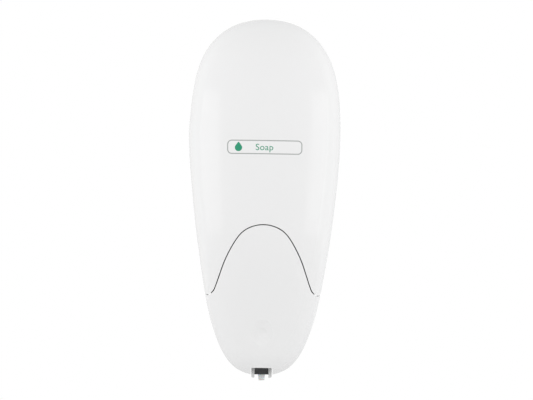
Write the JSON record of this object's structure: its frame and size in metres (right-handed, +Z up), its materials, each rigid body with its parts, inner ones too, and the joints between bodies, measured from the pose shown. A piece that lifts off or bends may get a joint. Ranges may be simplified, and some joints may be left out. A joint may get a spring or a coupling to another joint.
{
  "type": "wall mounted soap dispenser",
  "caption": "Egg-shaped wall soap dispenser with a hinged cover, press panel, lock, soap pouch and lever-driven pump.",
  "frame": {"origin": "on the wall plane, at the middle of the body's width and height", "axes": "+X to the right seen from the front, +Z up, the front faces -Y and the wall is at y = 0"},
  "size_m": [0.1255, 0.1158, 0.2935],
  "materials": {
    "white_gloss": "glossy white moulded plastic",
    "label_print": "thin printed film, white ground",
    "white_satin": "satin white moulded plastic",
    "zinc_steel": "zinc plated steel",
    "lock_grey": "grey satin plastic",
    "lock_metal": "satin nickel",
    "pouch_film": "soft translucent film filled with soap",
    "natural_plastic": "natural translucent plastic",
    "pump_white": "white polypropylene",
    "steel_ball": "stainless steel",
    "seal_rubber": "silicone rubber",
    "nozzle_clear": "milky translucent plastic",
    "lever_grey": "grey acetal"
  },
  "bodies": {
    "wall_frame": {"back_plate": "white_satin", "hinge_pin": "zinc_steel", "pump_bracket": "white_satin", "bracket_screws": "zinc_steel", "lock_keeper": "zinc_steel", "keeper_screws": "zinc_steel", "soap_pouch": "pouch_film", "pouch_spout": "natural_plastic", "pump_collar": "pump_white", "pump_cylinder": "natural_plastic", "inlet_ball": "steel_ball", "pump_spring": "steel_ball", "lever_pin": "zinc_steel", "drip_guard": "seal_rubber"},
    "cover": {"front_cover": "white_gloss", "inner_frame": "white_satin", "frame_screws": "zinc_steel", "label_film": "label_print", "lock_housing": "lock_grey", "lock_nut": "zinc_steel", "pivot_pins": "zinc_steel"},
    "lock": {"lock_barrel": "lock_metal", "lock_cam": "zinc_steel", "cam_screw": "zinc_steel"},
    "panel": {"press_panel": "white_gloss", "press_yoke": "white_satin", "yoke_screws": "zinc_steel"},
    "lever": {"pump_lever": "lever_grey"},
    "piston": {"pump_stem": "pump_white", "piston_seal": "seal_rubber", "nozzle_tip": "nozzle_clear", "outlet_valve": "seal_rubber"}
  },
  "joints": [
    {"name": "cover_open", "type": "hinge", "parent": "wall_frame", "child": "cover", "pos_m": [0, -0.009, -0.1382], "axis": [1, 0, 0], "range_deg": [0, 90]},
    {"name": "lock_turn", "type": "hinge", "parent": "cover", "child": "lock", "pos_m": [0, -0.035, 0.13], "axis": [0, 0, 1], "range_deg": [0, 90]},
    {"name": "panel_press", "type": "hinge", "parent": "cover", "child": "panel", "pos_m": [0, -0.045, -0.012], "axis": [1, 0, 0], "range_deg": [0, 5], "stiffness_Nm_per_rad": 8, "springref_deg": -2.29},
    {"name": "lever_swing", "type": "hinge", "parent": "wall_frame", "child": "lever", "pos_m": [0, -0.03, -0.118], "axis": [1, 0, 0], "range_deg": [-15.6, 0]},
    {"name": "pump_stroke", "type": "slide", "parent": "wall_frame", "child": "piston", "axis": [0, 0, 1], "range_m": [0, 0.0067], "deforming": ["pump_spring"]}
  ],
  "couplings": [
    {"joint": "lever_swing", "follows": "panel_press", "ratio": -3.12},
    {"joint": "pump_stroke", "follows": "panel_press", "m_per_rad": 0.076776}
  ]
}
